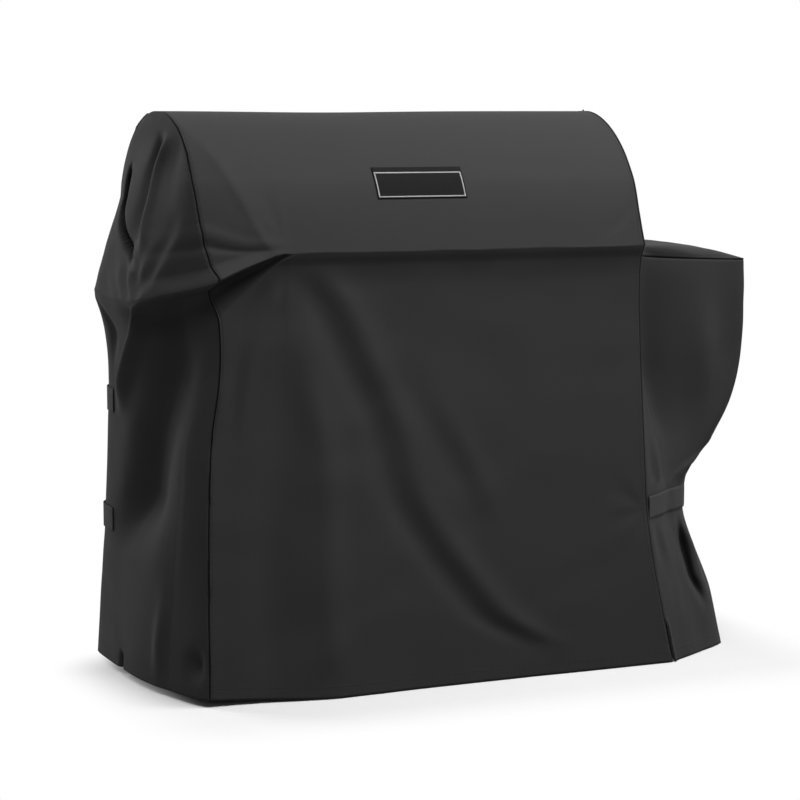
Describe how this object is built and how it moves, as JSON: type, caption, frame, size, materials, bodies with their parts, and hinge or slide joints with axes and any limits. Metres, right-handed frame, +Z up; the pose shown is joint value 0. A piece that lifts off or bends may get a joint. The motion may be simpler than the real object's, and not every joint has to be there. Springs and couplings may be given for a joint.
{
  "type": "grill cover",
  "caption": "Fitted cloth cover for an outdoor grill: rounded hood, shelf and hopper pockets, sewn panels with hems, closed by webbing straps; stands open below on its hem.",
  "frame": {"origin": "middle of the outline, on the plane of the lowest hem", "axes": "+Z up, +X towards the hopper end, the front faces -Y"},
  "size_m": [1.4096, 0.6272, 1.1819],
  "materials": {
    "cover_cloth": "matte coated polyester, fine weave, soft sheen",
    "seam_tape": "rolled and stitched seam tape",
    "hem_cloth": "turned hem of the same cloth",
    "webbing": "ribbed polyester webbing",
    "hook_and_loop": "hook and loop tape",
    "ring_metal": "dark coated wire",
    "label_cloth": "plain sewn patch"
  },
  "bodies": {
    "cover": {"front_hem_band": "hem_cloth", "front_panel": "cover_cloth", "hopper_seam_tape": "seam_tape", "hopper_skirt_panel": "cover_cloth", "hopper_top_panel": "cover_cloth", "label_patch": "label_cloth", "left_end_panel": "cover_cloth", "left_hem_band": "hem_cloth", "left_lower_loop_pad": "hook_and_loop", "left_seam_tape": "seam_tape", "left_upper_loop_pad": "hook_and_loop", "rear_hem_band": "hem_cloth", "rear_panel": "cover_cloth", "ridge_seam_tape": "seam_tape", "right_front_strap": "webbing", "right_hem_band": "hem_cloth", "right_loop_pad": "hook_and_loop", "right_rear_strap": "webbing", "right_seam_tape": "seam_tape", "strap_ring": "ring_metal"},
    "upper_strap": {"left_upper_strap": "webbing", "left_upper_hook_pad": "hook_and_loop"},
    "lower_strap": {"left_lower_strap": "webbing", "left_lower_hook_pad": "hook_and_loop"},
    "tab": {"right_strap_tab": "webbing", "right_hook_pad": "hook_and_loop"}
  },
  "joints": [
    {"name": "upper_strap_hinge", "type": "hinge", "parent": "cover", "child": "upper_strap", "pos_m": [-0.6654, 0.13593, 0.57427], "axis": [0, 0, 1], "range_deg": [0, 100]},
    {"name": "lower_strap_hinge", "type": "hinge", "parent": "cover", "child": "lower_strap", "pos_m": [-0.66183, 0.15708, 0.31827], "axis": [0, 0, 1], "range_deg": [0, 100]},
    {"name": "tab_hinge", "type": "hinge", "parent": "cover", "child": "tab", "pos_m": [0.57409, -0.12114, 0.33727], "axis": [0, 0, -1], "range_deg": [0, 120]}
  ]
}
